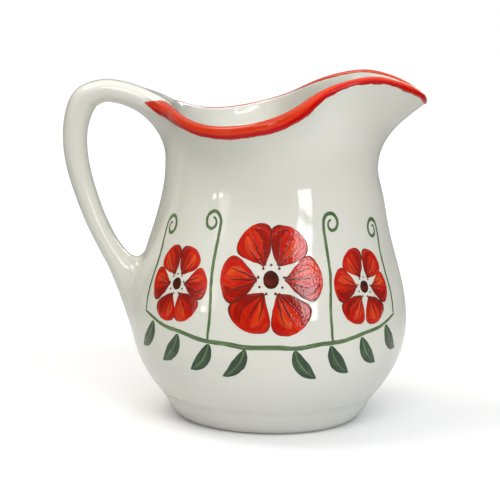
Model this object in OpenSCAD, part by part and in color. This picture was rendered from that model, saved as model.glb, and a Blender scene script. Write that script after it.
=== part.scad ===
// Ceramic pitcher: a cast body with a pulled spout on a foot ring, a loop handle luted on at two
// joints, a painted band on the lip and a painted garland of flowers on the belly.
// The origin is the centre of the face that it stands on. Up is +Z, the spout points along +X and
// the garland faces -Y. All lengths are in millimetres.

/* [Body] */
// Diameter of the belly at its widest
belly_d = 115; // [100:1:130]
// Height of the belly's widest line
belly_z = 41; // [34:1:50]
// Diameter of the neck at its narrowest
neck_d = 88; // [78:1:98]
// Height of the neck's narrowest line
neck_z = 105; // [92:1:114]
// Thickness of the cast wall
wall = 3.8; // [3:0.1:4.4]

/* [Foot] */
// Diameter of the foot's bearing face, outside
foot_d = 71; // [60:1:78]
// Width of the foot's bearing face
foot_face_w = 3.4; // [2.5:0.1:5]
// Diameter of the crease where the foot meets the bowl
crease_d = 88.4; // [84:0.4:94]
// Height of that crease
crease_z = 9.8; // [8:0.2:13]
// Depth of the hollow inside the foot ring
foot_hollow = 4.4; // [3:0.2:6]

/* [Rim and spout] */
// Radius of the rim at its sides
rim_r = 49.6; // [46:0.2:54]
// Radius of the rim at the handle
rim_back_r = 43; // [41:0.2:47]
// Height of the rim at its lowest, beside the handle
rim_dip_z = 124.8; // [118:0.2:130]
// Height of the rim at the handle
rim_back_z = 130.6; // [127:0.2:134]
// Reach of the spout's tip from the axis
spout_reach = 61.2; // [56:0.2:70]
// Height of the spout's tip
spout_tip_z = 135; // [131:0.2:140]
// Height of the rim where the spout's sides are highest
spout_peak_z = 144.2; // [139:0.2:149]
// How far the rim is pinched in beside the spout
spout_pinch = 13.4; // [6:0.2:15]
// How much fuller the shoulder is under the spout
spout_swell = 1.3; // [0:0.1:3]
// Radius of the rolled lip
lip_r = 2; // [1.6:0.1:2.6]

/* [Handle] */
// Reach of the handle from the axis
handle_reach = 86.4; // [78:0.2:96]
// Height of the handle's top
handle_top_z = 139.4; // [134:0.2:146]
// Height where the handle's lower end runs out into the belly
handle_low_z = 34; // [30:0.5:40]
// Thickness of the handle, measured across its loop
handle_t = 9; // [7:0.2:11]
// Width of the handle
handle_w = 15; // [11:0.5:19]
// Width of the handle's root on the rim
handle_root_w = 27; // [20:1:32]
// Width of the handle's foot on the belly
handle_foot_w = 22; // [16:1:28]
// Thickness of the slip in the two joints
slip_t = 0.8; // [0.6:0.1:1.4]

/* [Paint] */
// Width of the rim band below the lip
band_w = 2.4; // [1.6:0.1:4]
// Thickness of a painted layer
paint_t = 0.35; // [0.2:0.05:0.6]
// Clearance between a thin skin and the facets beside it
skin_gap = 0.12; // [0.1:0.02:0.2]
// Height of the garland's middle
garland_z = 64; // [60:1:67]
// Half of the garland's length, measured round the belly
garland_half = 62; // [60:1:66]
// Radius of the middle flower
big_flower_r = 23; // [16:0.5:23.5]
// Radius of each side flower
small_flower_r = 16; // [10:0.5:16.5]
// Diameter of the middle flower's painted centre
centre_d = 6.8; // [4:0.2:8]
// Length of a leaf
leaf_l = 15; // [9:0.5:17]
// Width of a leaf
leaf_w = 5.6; // [3:0.1:7]
// Width of the stem at its middle
stem_w = 1.9; // [1:0.1:3]
// Width of a tendril at its thickest
tendril_w = 1.3; // [0.8:0.1:2]
// Outer radius of a tendril's curl
curl_r = 4.6; // [3:0.1:6]

/* [Hidden] */

glaze_colour = [0.86, 0.85, 0.81];
clay_colour = [0.80, 0.76, 0.68];
slip_colour = [0.83, 0.81, 0.75];
red_colour = [0.80, 0.20, 0.11];
centre_colour = [0.36, 0.11, 0.07];
leaf_colour = [0.14, 0.25, 0.13];
stem_colour = [0.40, 0.49, 0.28];

belly_r = belly_d / 2;
neck_r = neck_d / 2;
foot_r = foot_d / 2;
crease_r = crease_d / 2;
hollow_r = foot_r - foot_face_w;

// Places round the body, with angles in degrees from the spout
columns = 80;
tip_crowding = 0.42;
spout_half_angle = 38;
pinch_from = 12;
pinch_at = 57;
pinch_to = 100;
tip_angle = 34;
tip_round_angle = 4;
peak_angle = 22;
dip_angle = 118;
band_end_angle = 161;
band_taper_angle = 22;

// Elevations of the wall where it meets the lip
side_flare = 66;
spout_flare = 39;
pinch_flare = 26;

// Rows up the outer wall, over the lip and down the inner wall
bowl_rows = 5;
belly_rows = 9;
shoulder_rows = 6;
flare_rows = 9;
lip_steps = 6;
inner_step = 2;
band_rows = 2;
foot_steps = 96;

// Shapes of the curves, as shares of the sizes that they join
belly_slope_share = 0.91;
neck_lift_share = 0.5;
lip_pull_share = 0.37;
bowl_run_share = 0.42;
foot_toe_shares = [0.49, 0.03];
foot_heel_shares = [0.70, 0.51];

function mix(a, b, s) = a + (b - a) * s;
function unit(v) = v / norm(v);
function rise(a, from, to) = a <= from ? 0 : a >= to ? 1 : (1 - cos(180 * (a - from) / (to - from))) / 2;
function hump(a, from, at, to) =
    a <= from || a >= to ? 0 : cos(90 * (a < at ? (at - a) / (at - from) : (a - at) / (to - at)));
function bezier(p, s) =
    pow(1 - s, 3) * p[0] + 3 * s * pow(1 - s, 2) * p[1] + 3 * s * s * (1 - s) * p[2] + pow(s, 3) * p[3];
// Height and slope curve between two points
function hermite(a, b, slope_a, slope_b, s) =
    (1 + 2 * s) * pow(1 - s, 2) * a + s * pow(1 - s, 2) * slope_a
    + s * s * (3 - 2 * s) * b - s * s * (1 - s) * slope_b;

// Rim: plan radius, height of its top and elevation of the wall under it, at an angle of 0 to 180
function rim_plan(a) = rim_r
    + (spout_reach - rim_r) * pow(hump(a, -spout_half_angle, 0, spout_half_angle), 3)
    - spout_pinch * pow(hump(a, pinch_from, pinch_at, pinch_to), 2)
    - (rim_r - rim_back_r) * rise(a, pinch_to, 180);
// The rim rises from the tip to the peak as a V with a rounded bottom
function tip_share(a) =
    (norm([min(a, tip_angle), tip_round_angle]) - tip_round_angle)
    / (norm([tip_angle, tip_round_angle]) - tip_round_angle);
function rim_top(a) = spout_peak_z
    - (spout_peak_z - spout_tip_z) * (1 - sin(90 * tip_share(a)))
    - (spout_peak_z - rim_dip_z) * rise(a, peak_angle, dip_angle)
    + (rim_back_z - rim_dip_z) * rise(a, dip_angle, 180);
function rim_flare(a) = side_flare
    + (spout_flare - side_flare) * pow(hump(a, -tip_angle, 0, tip_angle), 2)
    + pinch_flare * pow(hump(a, pinch_from, pinch_at, pinch_to), 2);
function rim_edge(a) = [rim_plan(a) + lip_r * sin(rim_flare(a)),
                        rim_top(a) - lip_r - lip_r * cos(rim_flare(a))];

// Outer wall: radius and height in one upright plane. The bowl, belly and shoulder are turned
// shapes, and the flare runs from the neck to the rim at each angle.
function bowl_point(s) = bezier([[hollow_r, foot_hollow],
                                 [mix(hollow_r, crease_r, bowl_run_share), foot_hollow],
                                 [crease_r - (crease_z - foot_hollow) / 2 * belly_slope_share,
                                  mix(foot_hollow, crease_z, 1 / 2)],
                                 [crease_r, crease_z]], s);
function belly_point(s) = [hermite(crease_r, belly_r, (belly_z - crease_z) * belly_slope_share, 0, s),
                           mix(crease_z, belly_z, s)];
function shoulder_point(s, a = 180) =
    [hermite(belly_r, neck_r, 0, 0, s) + spout_swell * hump(a, -90, 0, 90) * pow(sin(180 * s * s * s), 2),
     mix(belly_z, neck_z, s)];
function flare_point(a, s) =
    let (edge = rim_edge(a), up = edge[1] - neck_z)
    bezier([[neck_r, neck_z], [neck_r, neck_z + up * neck_lift_share],
            edge - up * lip_pull_share * [cos(rim_flare(a)), sin(rim_flare(a))], edge], s);

// The flare's last rows lie at the lower edge of the rim band and halfway up it
function band_width(a) = band_w * (1 - rise(a, band_end_angle - band_taper_angle, band_end_angle) / 2);
function band_share(a) = 1 - band_width(a) / (3 * lip_pull_share * (rim_edge(a)[1] - neck_z));
function flare_share(a, row) =
    let (below = flare_rows - band_rows)
    row <= below ? band_share(a) * row / below : mix(band_share(a), 1, (row - below) / band_rows);

outer_rows = bowl_rows + belly_rows + shoulder_rows + flare_rows;
function wall_point(a, row) =
    row <= bowl_rows ? bowl_point(row / bowl_rows)
    : row <= bowl_rows + belly_rows ? belly_point((row - bowl_rows) / belly_rows)
    : row <= bowl_rows + belly_rows + shoulder_rows
        ? shoulder_point((row - bowl_rows - belly_rows) / shoulder_rows, a)
    : flare_point(a, flare_share(a, row - bowl_rows - belly_rows - shoulder_rows));

// Columns crowd towards the spout's tip. Angles past 180 mirror those before it.
function column_angle(i) = 360 * i / columns - tip_crowding * 180 / PI * sin(360 * i / columns);
function half_angle(turn) = turn <= 180 ? turn : 360 - turn;
function swing(p, turn) = [p[0] * cos(turn), p[0] * sin(turn), p[1]];
function outer(i, row) =
    let (turn = column_angle(i % columns)) swing(wall_point(half_angle(turn), row), turn);

// Outward direction of the wall at a grid point, from its neighbours
function round_direction(i, row) = unit(outer(i + 1, row) - outer(i + columns - 1, row));
function up_direction(i, row) =
    unit(outer(i, min(row + 1, outer_rows)) - outer(i, max(row - 1, 0)));
function outward(i, row) =
    row == 0 ? [0, 0, -1] : unit(cross(round_direction(i, row), up_direction(i, row)));
function lip_up(i) = unit(cross(outward(i, outer_rows), round_direction(i, outer_rows)));

function outer_ring(row, out = 0) =
    [for (i = [0 : columns - 1]) outer(i, row) + out * outward(i, row)];
function inner_ring(row) = [for (i = [0 : columns - 1])
    outer(i, row) - mix(wall, 2 * lip_r, rise(row, outer_rows - flare_rows, outer_rows)) * outward(i, row)];
function lip_ring(step, out = 0) = [for (i = [0 : columns - 1])
    let (n = outward(i, outer_rows), turn = 180 * step / lip_steps)
    outer(i, outer_rows) - lip_r * n
        + (lip_r + out) * (cos(turn) * n + sin(turn) * lip_up(i))];
function lip_rings(out = 0) = [for (step = [1 : lip_steps - 1]) lip_ring(step, out)];

function ring_middle(ring) = [0, 0, ring[0][2]];
// Faces between two rings of n points, and a fan from a ring to one point
function skirt(first, second, n) = [for (i = [0 : n - 1]) let (j = (i + 1) % n)
    each [[first + i, second + i, second + j], [first + i, second + j, first + j]]];
function fan(middle, ring, n, flip) = [for (i = [0 : n - 1]) let (j = (i + 1) % n)
    flip ? [middle, ring + j, ring + i] : [middle, ring + i, ring + j]];

// Closed solid through a stack of rings, each end closed with a fan
module ring_stack(rings) {
    n = len(rings[0]);
    count = len(rings);
    points = [ring_middle(rings[0]), for (ring = rings) each ring, ring_middle(rings[count - 1])];
    faces = [each fan(0, 1, n, false),
             for (k = [0 : count - 2]) each skirt(1 + k * n, 1 + (k + 1) * n, n),
             each fan(1 + count * n, 1 + (count - 1) * n, n, true)];
    polyhedron(points = points, faces = faces, convexity = 6);
}

// The pitcher's outer form without its hollow, grown by a distance, for cutting the handle's ends
module solid_form(out) {
    rings = [for (row = [0 : outer_rows]) outer_ring(row, out), each lip_rings(out)];
    ring_stack(rings);
}

module body() {
    inner_rows = [for (row = [outer_rows : -inner_step : 0]) row];
    rings = [for (row = [0 : outer_rows]) outer_ring(row),
             each lip_rings(),
             for (row = inner_rows) inner_ring(row)];
    color(glaze_colour) ring_stack(rings);
}

module foot_ring() {
    toe = [[foot_r, 0],
           [mix(foot_r, crease_r, foot_toe_shares[0]), crease_z * foot_toe_shares[1]],
           [mix(foot_r, crease_r, foot_heel_shares[0]), crease_z * foot_heel_shares[1]],
           [crease_r, crease_z]];
    outline = [[hollow_r, 0],
               for (k = [0 : 2 * bowl_rows]) bezier(toe, k / (2 * bowl_rows)),
               for (k = [bowl_rows - 1 : -1 : 0]) bowl_point(k / bowl_rows)];
    color(clay_colour) rotate_extrude($fn = foot_steps) polygon(outline);
}

// Handle: stations along its middle line from the rim to the belly. Each holds a share of the
// reach past the neck, a share of the height, a share of the thickness, a share that widens it
// to its root and a share that widens it to its foot.
handle_shares = [
    [-0.14, 0.810, 2.00, 1.00, 0],
    [ 0.04, 0.866, 1.60, 0.90, 0],
    [ 0.17, 0.907, 1.24, 0.55, 0],
    [ 0.31, 0.934, 1.07, 0.20, 0],
    [ 0.46, 0.951, 1.03, 0, 0],
    [ 0.63, 0.953, 1.05, 0, 0],
    [ 0.80, 0.912, 1.22, 0, 0],
    [ 0.88, 0.800, 1.12, 0, 0],
    [ 0.85, 0.655, 1.04, 0, 0],
    [ 0.70, 0.470, 0.94, 0, 0],
    [ 0.51, 0.320, 1.00, 0, 0.15],
    [ 0.34, 0.240, 1.66, 0, 0.45],
    [ 0.21, 0.145, 1.66, 0, 0.80],
    [ 0.10, 0.010, 1.50, 0, 1.00]];
handle_steps = 48;
handle_sides = 18;
handle_squareness = 0.86;

// Smooth curve through the rows of a table, by Catmull and Rom's rule
function through(rows, s) =
    let (n = len(rows) - 1, k = min(floor(s * n), n - 1), u = s * n - k,
         a = rows[max(k - 1, 0)], b = rows[k], c = rows[k + 1], d = rows[min(k + 2, n)])
    b + u * ((c - a) / 2 + u * (a - 2.5 * b + 2 * c - d / 2 + u * (1.5 * (b - c) + (d - a) / 2)));
function handle_middle(s) = let (row = through(handle_shares, s))
    [-mix(neck_r, handle_reach, row[0]), mix(handle_low_z, handle_top_z, row[1])];
function handle_ring(s) =
    let (row = through(handle_shares, s), step = 1 / (4 * handle_steps),
         ahead = handle_middle(min(s + step, 1)) - handle_middle(max(s - step, 0)),
         across = unit([-ahead[1], 0, ahead[0]]),
         middle = handle_middle(s),
         half_t = handle_t * row[2] / 2,
         half_w = (handle_w + (handle_root_w - handle_w) * row[3]
                   + (handle_foot_w - handle_w) * row[4]) / 2)
    [for (k = [0 : handle_sides - 1]) let (turn = 360 * k / handle_sides)
        [middle[0], 0, middle[1]]
        + half_t * sign(cos(turn)) * pow(abs(cos(turn)), handle_squareness) * across
        + [0, half_w * sign(sin(turn)) * pow(abs(sin(turn)), handle_squareness), 0]];

// One short length of the handle between two of its rings
module handle_length(k) {
    hull() polyhedron(points = [each handle_ring(k / handle_steps), each handle_ring((k + 1) / handle_steps)],
                      faces = [[for (i = [0 : handle_sides - 1]) i],
                               [for (i = [0 : handle_sides - 1]) 2 * handle_sides - 1 - i],
                               each skirt(0, handle_sides, handle_sides)]);
}
module handle() {
    color(glaze_colour) difference() {
        for (k = [0 : handle_steps - 1]) handle_length(k);
        solid_form(slip_t);
    }
}

// A skin is a grid of places on the wall, given a thickness: a row of loops, each out along its
// underside and back along its face. Faces join the loops, and a strip of quads closes each end.
function skin_points(grid, on, low, high) =
    [for (row = grid) each [for (p = row) on(p, low), for (m = [len(row) - 1 : -1 : 0]) on(row[m], high)]];
function skin_end(first, loop, flip) = [for (k = [0 : loop / 2 - 2])
    let (a = first + k, b = first + k + 1, c = first + loop - 2 - k, d = first + loop - 1 - k)
    each flip ? [[a, c, b], [a, d, c]] : [[a, b, c], [a, c, d]]];
function skin_faces(rows, loop, base) =
    [for (k = [0 : rows - 2]) each skirt(base + k * loop, base + (k + 1) * loop, loop),
     each skin_end(base, loop, false), each skin_end(base + (rows - 1) * loop, loop, true)];

// All the skins of one colour, each closed, in one solid
module skins(grids, on, low, high, colour) {
    loops = [for (g = grids) 2 * len(g[0])];
    function start_of(k) = k == 0 ? 0 : start_of(k - 1) + len(grids[k - 1]) * loops[k - 1];
    color(colour) polyhedron(points = [for (g = grids) each skin_points(g, on, low, high)],
                             faces = [for (k = [0 : len(grids) - 1])
                                 each skin_faces(len(grids[k]), loops[k], start_of(k))],
                             convexity = 10);
}

// A place on the rim is [column, row], and rows past the outer wall's last one go over the lip
on_rim = function (place, out)
    let (i = place[0], row = place[1], n = outward(i, min(row, outer_rows)),
         turn = 180 * (row - outer_rows) / lip_steps)
    row <= outer_rows ? outer(i, row) + out * n
    : outer(i, outer_rows) - lip_r * n + (lip_r + out) * (cos(turn) * n + sin(turn) * lip_up(i));

// A place on the belly is [distance round it from the front, height]
slope_step = 0.4;
function belly_at(z, a) = z < belly_z ? belly_point((z - crease_z) / (belly_z - crease_z))[0]
    : shoulder_point((z - belly_z) / (neck_z - belly_z), a)[0];
on_belly = function (place, out)
    let (turn = place[0] / belly_r * 180 / PI - 90, a = half_angle(abs(turn)), z = place[1],
         lean = atan((belly_at(z + slope_step, a) - belly_at(z - slope_step, a)) / (2 * slope_step)),
         reach = belly_at(z, a) + out * cos(lean))
    [reach * cos(turn), reach * sin(turn), z - out * sin(lean)];

// Slip between the wall and each end of the handle: an oval patch of the wall's own shape
slip_steps = 12;
slip_lanes = 6;
slip_blunt_share = 0.3;
slip_start_row = 2;
lower_slip_place_share = 0.18;
lower_slip_half_shares = [0.47, 0.58];
function oval(middle, half) = [for (k = [0 : slip_steps])
    let (up = 2 * k / slip_steps - 1, w = half[0] * max(sqrt(1 - up * up), slip_blunt_share))
    [for (m = [0 : slip_lanes]) middle + [w * (1 - 2 * m / slip_lanes), half[1] * up]]];

module upper_slip_joint() {
    column_w = rim_back_r * 2 * PI / columns * (1 + tip_crowding);
    low = outer_rows - flare_rows + slip_start_row;
    high = outer_rows + lip_steps / 2;
    patch = oval([columns / 2, (low + high) / 2],
                 [(handle_root_w / 2 + slip_t) / column_w, (high - low) / 2]);
    skins([patch], on_rim, skin_gap, slip_t - skin_gap, slip_colour);
}
module lower_slip_joint() {
    patch = oval([belly_r * PI * 3 / 2, mix(handle_low_z, handle_top_z, lower_slip_place_share)],
                 handle_foot_w * lower_slip_half_shares);
    skins([patch], on_belly, skin_gap, slip_t - skin_gap, slip_colour);
}

// Rim band: a thin skin on the same grid as the lip, open behind the handle. Its columns go in
// order round the spout, from one end of the band to the other.
module rim_band() {
    held = [for (i = [0 : columns - 1]) if (half_angle(column_angle(i)) <= band_end_angle) i];
    order = [for (i = held) if (i > columns / 2) i, for (i = held) if (i <= columns / 2) i];
    across = band_rows + lip_steps;
    skins([[for (i = order) [for (k = [0 : across - 1]) [i, outer_rows - band_rows + k]]]],
          on_rim, 0, paint_t, red_colour);
}

// A stroke follows a curve by three points, or a list of places. Its form is the share of its
// width that its ends keep, the power that moves its widest place and its number of lanes.
swell_power = 0.8;
petal_form = [0.18, 1.9, 4];
dot_form = [0.3, 1, 4];
stem_form = [0.45, 1, 1];
leaf_form = [0.12, 0.9, 2];
stroke_steps = 8;
function bend(a, b, c) = [for (k = [0 : stroke_steps]) let (s = k / stroke_steps)
    (1 - s) * (1 - s) * a + 2 * s * (1 - s) * b + s * s * c];
function swell(s, form) = mix(pow(sin(180 * pow(s, form[1])), swell_power), 1, form[0]);
function stroke_grid(path, width, form) =
    let (n = len(path) - 1, lanes = form[2])
    [for (k = [0 : n]) let (way = unit(path[min(k + 1, n)] - path[max(k - 1, 0)]),
                            side = [-way[1], way[0]], w = width * swell(k / n, form))
        [for (m = [0 : lanes]) path[k] + side * w * (m / lanes - 1 / 2)]];
module strokes(grids, colour) skins(grids, on_belly, skin_gap, skin_gap + paint_t, colour);

// The garland's stem hangs in a shallow curve under three flowers, each a place and a radius
big_lift_share = 0.10;
small_drop_share = 0.14;
small_place_share = 0.70;
stem_sag_shares = [1.04, 0.36];
function stem_place(s) =
    [garland_half * s, garland_z - big_flower_r * (stem_sag_shares[0] - stem_sag_shares[1] * s * s)];
small_x = garland_half * small_place_share;
small_z = garland_z - small_flower_r * small_drop_share;
flowers = [[[0, garland_z + big_flower_r * big_lift_share], big_flower_r],
           [[-small_x, small_z], small_flower_r],
           [[small_x, small_z], small_flower_r]];
function dot_r(flower) = centre_d / 2 * flower[1] / big_flower_r;

petals = 6;
petal_width_share = 0.74;
petal_start_share = 0.11;
petal_lean = 3;
function ray(turn) = [sin(turn), cos(turn)];
function petal(flower, turn) =
    let (middle = flower[0], r = flower[1])
    stroke_grid(bend(middle + ray(turn) * (dot_r(flower) + r * petal_start_share),
                     middle + ray(turn + petal_lean) * r / 2, middle + ray(turn) * r),
                r * petal_width_share, petal_form);

module painted_petals() {
    strokes([for (flower = flowers, k = [0 : petals - 1]) petal(flower, 360 * (k + 1 / 2) / petals)],
            red_colour);
}

// A flower's centre is one broad dot
module painted_centres() {
    strokes([for (flower = flowers) let (reach = [dot_r(flower), 0])
             stroke_grid(bend(flower[0] - reach, flower[0], flower[0] + reach), 2 * reach[0], dot_form)],
            centre_colour);
}

// Tendrils rise from the stem between the flowers and past them, and end in a curl. Each is a
// place on the stem, a height over it as a share of the big flower and the side that curls.
tendril_shares = [[0.41, 1.95, 1], [0.99, 1.48, -1]];
curl_turn = 450;
curl_steps = 16;
curl_inner_share = 0.3;
function tendril(root, height, side) =
    let (top = root + [0, height], middle = top + [side * curl_r, 0])
    [for (k = [0 : curl_steps - 1])
        let (turn = curl_turn * (1 - k / curl_steps), r = curl_r * mix(curl_inner_share, 1, k / curl_steps))
        middle + r * [-side * cos(turn), sin(turn)],
     each bend(top, (top + root) / 2, root)];

module painted_stems() {
    stem_steps = 24;
    stem = [for (k = [0 : stem_steps]) stem_place(2 * k / stem_steps - 1)];
    strokes([stroke_grid(stem, stem_w, stem_form),
             for (side = [-1, 1], t = tendril_shares)
                 stroke_grid(tendril(stem_place(side * t[0]) + [0, stem_w], big_flower_r * t[1], side * t[2]),
                             tendril_w, stem_form)],
            stem_colour);
}

// Leaves hang from just under the stem and lean outwards
leaf_place_shares = [-0.88, -0.64, -0.40, -0.16, 0.16, 0.40, 0.64, 0.88];
leaf_pull_shares = [0.08, 0.50];
leaf_tip_shares = [0.62, 0.78];
module painted_leaves() {
    strokes([for (s = leaf_place_shares)
        let (root = stem_place(s) - [0, stem_w],
             pull = leaf_l * [sign(s) * leaf_pull_shares[0], -leaf_pull_shares[1]],
             tip = leaf_l * [sign(s) * leaf_tip_shares[0], -leaf_tip_shares[1]])
        stroke_grid(bend(root, root + pull, root + tip), leaf_w, leaf_form)], leaf_colour);
}

body();
foot_ring();
handle();
upper_slip_joint();
lower_slip_joint();
rim_band();
painted_petals();
painted_centres();
painted_leaves();
painted_stems();
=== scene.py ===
# Glazed earthenware pitcher with a painted rim band and a painted garland.
import bpy
import math
import random
from mathutils import Matrix, Vector
from mathutils.bvhtree import BVHTree


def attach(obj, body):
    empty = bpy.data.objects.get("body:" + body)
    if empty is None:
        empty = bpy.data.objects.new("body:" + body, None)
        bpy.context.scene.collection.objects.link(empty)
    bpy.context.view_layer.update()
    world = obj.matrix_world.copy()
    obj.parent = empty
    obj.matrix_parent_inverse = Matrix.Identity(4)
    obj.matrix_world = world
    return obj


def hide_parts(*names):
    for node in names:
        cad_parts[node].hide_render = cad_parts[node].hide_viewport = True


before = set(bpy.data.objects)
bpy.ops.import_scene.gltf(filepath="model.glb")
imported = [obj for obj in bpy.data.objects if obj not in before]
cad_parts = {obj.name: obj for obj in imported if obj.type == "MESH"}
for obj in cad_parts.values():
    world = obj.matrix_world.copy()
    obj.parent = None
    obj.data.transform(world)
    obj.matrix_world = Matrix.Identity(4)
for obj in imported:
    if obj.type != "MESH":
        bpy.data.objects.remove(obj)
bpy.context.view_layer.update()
mm = 0.001
print("frame loaded")


# One set of rules for the pot's shape. Each works on plain numbers, and on node sockets too, so
# the same rule places a painted stroke and builds a Geometry Nodes tree.
class Socket:
    def __init__(self, tree, output):
        self.tree = tree
        self.output = output

    def math(self, operation, *others):
        node = self.tree.nodes.new("ShaderNodeMath")
        node.operation = operation
        for slot, value in zip(node.inputs, (self, *others)):
            plug(self.tree, value, slot)
        return Socket(self.tree, node.outputs[0])

    def __add__(self, other):
        return self.math("ADD", other)

    def __sub__(self, other):
        return self.math("SUBTRACT", other)

    def __rsub__(self, other):
        return self.math("MULTIPLY", -1).math("ADD", other)

    def __mul__(self, other):
        return self.math("MULTIPLY", other)

    def __truediv__(self, other):
        return self.math("DIVIDE", other)

    __radd__ = __add__
    __rmul__ = __mul__


def plug(tree, value, slot):
    if isinstance(value, Socket):
        tree.links.new(value.output, slot)
    else:
        slot.default_value = value


def cosine(x):
    return x.math("COSINE") if isinstance(x, Socket) else math.cos(x)


def sine(x):
    return x.math("SINE") if isinstance(x, Socket) else math.sin(x)


def root(x):
    return x.math("SQRT") if isinstance(x, Socket) else math.sqrt(x)


def least(a, b):
    return a.math("MINIMUM", b) if isinstance(a, Socket) else min(a, b)


def most(a, b):
    return a.math("MAXIMUM", b) if isinstance(a, Socket) else max(a, b)


def share(x, start, end):
    return least(most((x - start) / (end - start), 0.0), 1.0)


def mix(a, b, s):
    return a + (b - a) * s


def rise(x, start, end):
    return (1 - cosine(share(x, start, end) * math.pi)) * 0.5


def hump(x, start, at, end):
    away = most((at - x) / (at - start), (x - at) / (end - at))
    return cosine(least(most(away, 0.0), 1.0) * (math.pi / 2))


def bezier(a, b, c, d, s):
    t = 1 - s
    return t * t * t * a + 3 * s * t * t * b + 3 * s * s * t * c + s * s * s * d


def hermite(a, b, slopeA, slopeB, s):
    t = 1 - s
    return (1 + 2 * s) * t * t * a + s * t * t * slopeA + s * s * (3 - 2 * s) * b - s * s * t * slopeB


# The pot, in millimetres and in degrees round from the spout
pot = {
    "bellyR": 57.5, "bellyZ": 41, "neckR": 44, "neckZ": 105, "wall": 3.8,
    "hollowR": 32.1, "footHollow": 4.4, "creaseR": 44.2, "creaseZ": 9.8,
    "rimR": 49.6, "rimBackR": 43, "rimDipZ": 124.8, "rimBackZ": 130.6,
    "spoutReach": 61.2, "spoutTipZ": 135, "spoutPeakZ": 144.2, "spoutPinch": 13.4,
    "spoutSwell": 1.3, "swellHalf": 90,
    "lipR": 2.0, "tipAngle": 34, "tipRound": 4, "spoutHalf": 38, "pinch": (12, 57, 100),
    "narrowing": (100, 180), "dip": (22, 118), "back": (118, 170),
    "flare": 66, "flareSpout": 27, "flareSpoutHalf": 34, "flarePinch": 26,
    # How far each curve runs on before it bends, as shares
    "bowlStart": 0.42, "lean": 0.91, "neckRun": 0.5, "edgeRun": 0.37,
    # Length of the flare up its slope
    "flareLength": 22,
    "columns": 240, "crowding": 0.42,
    "discRows": 5, "bowlRows": 14, "bellyRows": 26, "shoulderRows": 34, "flareRows": 34, "lipRows": 14,
}


def rimPlan(a):
    spout = hump(a, -pot["spoutHalf"], 0, pot["spoutHalf"])
    pinch = hump(a, *pot["pinch"])
    return (pot["rimR"] + (pot["spoutReach"] - pot["rimR"]) * spout * spout * spout
            - pot["spoutPinch"] * pinch * pinch
            - (pot["rimR"] - pot["rimBackR"]) * rise(a, *pot["narrowing"]))


def rimTop(a):
    corner = pot["tipRound"]
    reach = least(a, pot["tipAngle"])
    whole = math.hypot(pot["tipAngle"], corner) - corner
    up = (root(reach * reach + corner * corner) - corner) / whole
    return (pot["spoutPeakZ"] - (pot["spoutPeakZ"] - pot["spoutTipZ"]) * (1 - sine(up * (math.pi / 2)))
            - (pot["spoutPeakZ"] - pot["rimDipZ"]) * rise(a, *pot["dip"])
            + (pot["rimBackZ"] - pot["rimDipZ"]) * rise(a, *pot["back"]))


def rimFlare(a):
    spout = hump(a, -pot["flareSpoutHalf"], 0, pot["flareSpoutHalf"])
    pinch = hump(a, *pot["pinch"])
    tilt = pot["flare"] - pot["flareSpout"] * spout * spout + pot["flarePinch"] * pinch * pinch
    return tilt * (math.pi / 180)


def discPart(a, s):
    return pot["hollowR"] * s, pot["footHollow"] + 0 * s


def bowlPart(a, s):
    start, end = pot["hollowR"], pot["creaseR"]
    low, high = pot["footHollow"], pot["creaseZ"]
    return (bezier(start, mix(start, end, pot["bowlStart"]), end - (high - low) / 2 * pot["lean"], end, s),
            bezier(low, low, (low + high) / 2, high, s))


def bellyPart(a, s):
    slope = (pot["bellyZ"] - pot["creaseZ"]) * pot["lean"]
    return hermite(pot["creaseR"], pot["bellyR"], slope, 0, s), mix(pot["creaseZ"], pot["bellyZ"], s)


def shoulderPart(a, s):
    late = sine(s * s * s * math.pi)
    swell = pot["spoutSwell"] * hump(a, -pot["swellHalf"], 0, pot["swellHalf"]) * late * late
    return hermite(pot["bellyR"], pot["neckR"], 0, 0, s) + swell, mix(pot["bellyZ"], pot["neckZ"], s)


def flarePart(a, s):
    tilt = rimFlare(a)
    edgeR = rimPlan(a) + pot["lipR"] * sine(tilt)
    edgeZ = rimTop(a) - pot["lipR"] - pot["lipR"] * cosine(tilt)
    up = edgeZ - pot["neckZ"]
    run = up * pot["edgeRun"]
    return (bezier(pot["neckR"], pot["neckR"], edgeR - run * cosine(tilt), edgeR, s),
            bezier(pot["neckZ"], pot["neckZ"] + up * pot["neckRun"], edgeZ - run * sine(tilt), edgeZ, s))


wallParts = [discPart, bowlPart, bellyPart, shoulderPart, flarePart]


# Radius and height of the outer wall. Level runs from 0 at the middle of the base to 5 at the lip.
def wallAt(a, level):
    if not isinstance(level, Socket):
        part = min(int(level), 4)
        return wallParts[part](a, level - part)
    radius = 0.0
    height = 0.0
    for number, part in enumerate(wallParts):
        inside = 1.0 if part == flarePart else level.math("LESS_THAN", number + 1)
        if number:
            inside = (1 - level.math("LESS_THAN", number)) * inside
        partR, partZ = part(a, share(level, number, number + 1))
        radius = inside * partR + radius
        height = inside * partZ + height
    return radius, height


def halfAngle(turn):
    return abs((turn + 180) % 360 - 180)


def wallPoint(turn, level):
    radius, height = wallAt(halfAngle(turn), level)
    around = math.radians(turn)
    return Vector((radius * math.cos(around), radius * math.sin(around), height))


# The point, its outward direction, the way up along the wall and the way round it
def wallFrame(turn, level):
    step = 0.01
    half = 0.5
    around = (wallPoint(turn + half, level) - wallPoint(turn - half, level)).normalized()
    upward = (wallPoint(turn, min(level + step, 5)) - wallPoint(turn, level - step)).normalized()
    out = around.cross(upward).normalized()
    return wallPoint(turn, level), out, out.cross(around).normalized(), around


# Geometry Nodes helpers
def addNode(tree, kind, inputs=(), **settings):
    node = tree.nodes.new(kind)
    for name, value in settings.items():
        setattr(node, name, value)
    for name, value in dict(inputs).items():
        plug(tree, value, node.inputs[name])
    return node


def made(tree, kind, inputs=(), output=0, **settings):
    return Socket(tree, addNode(tree, kind, inputs, **settings).outputs[output])


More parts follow.
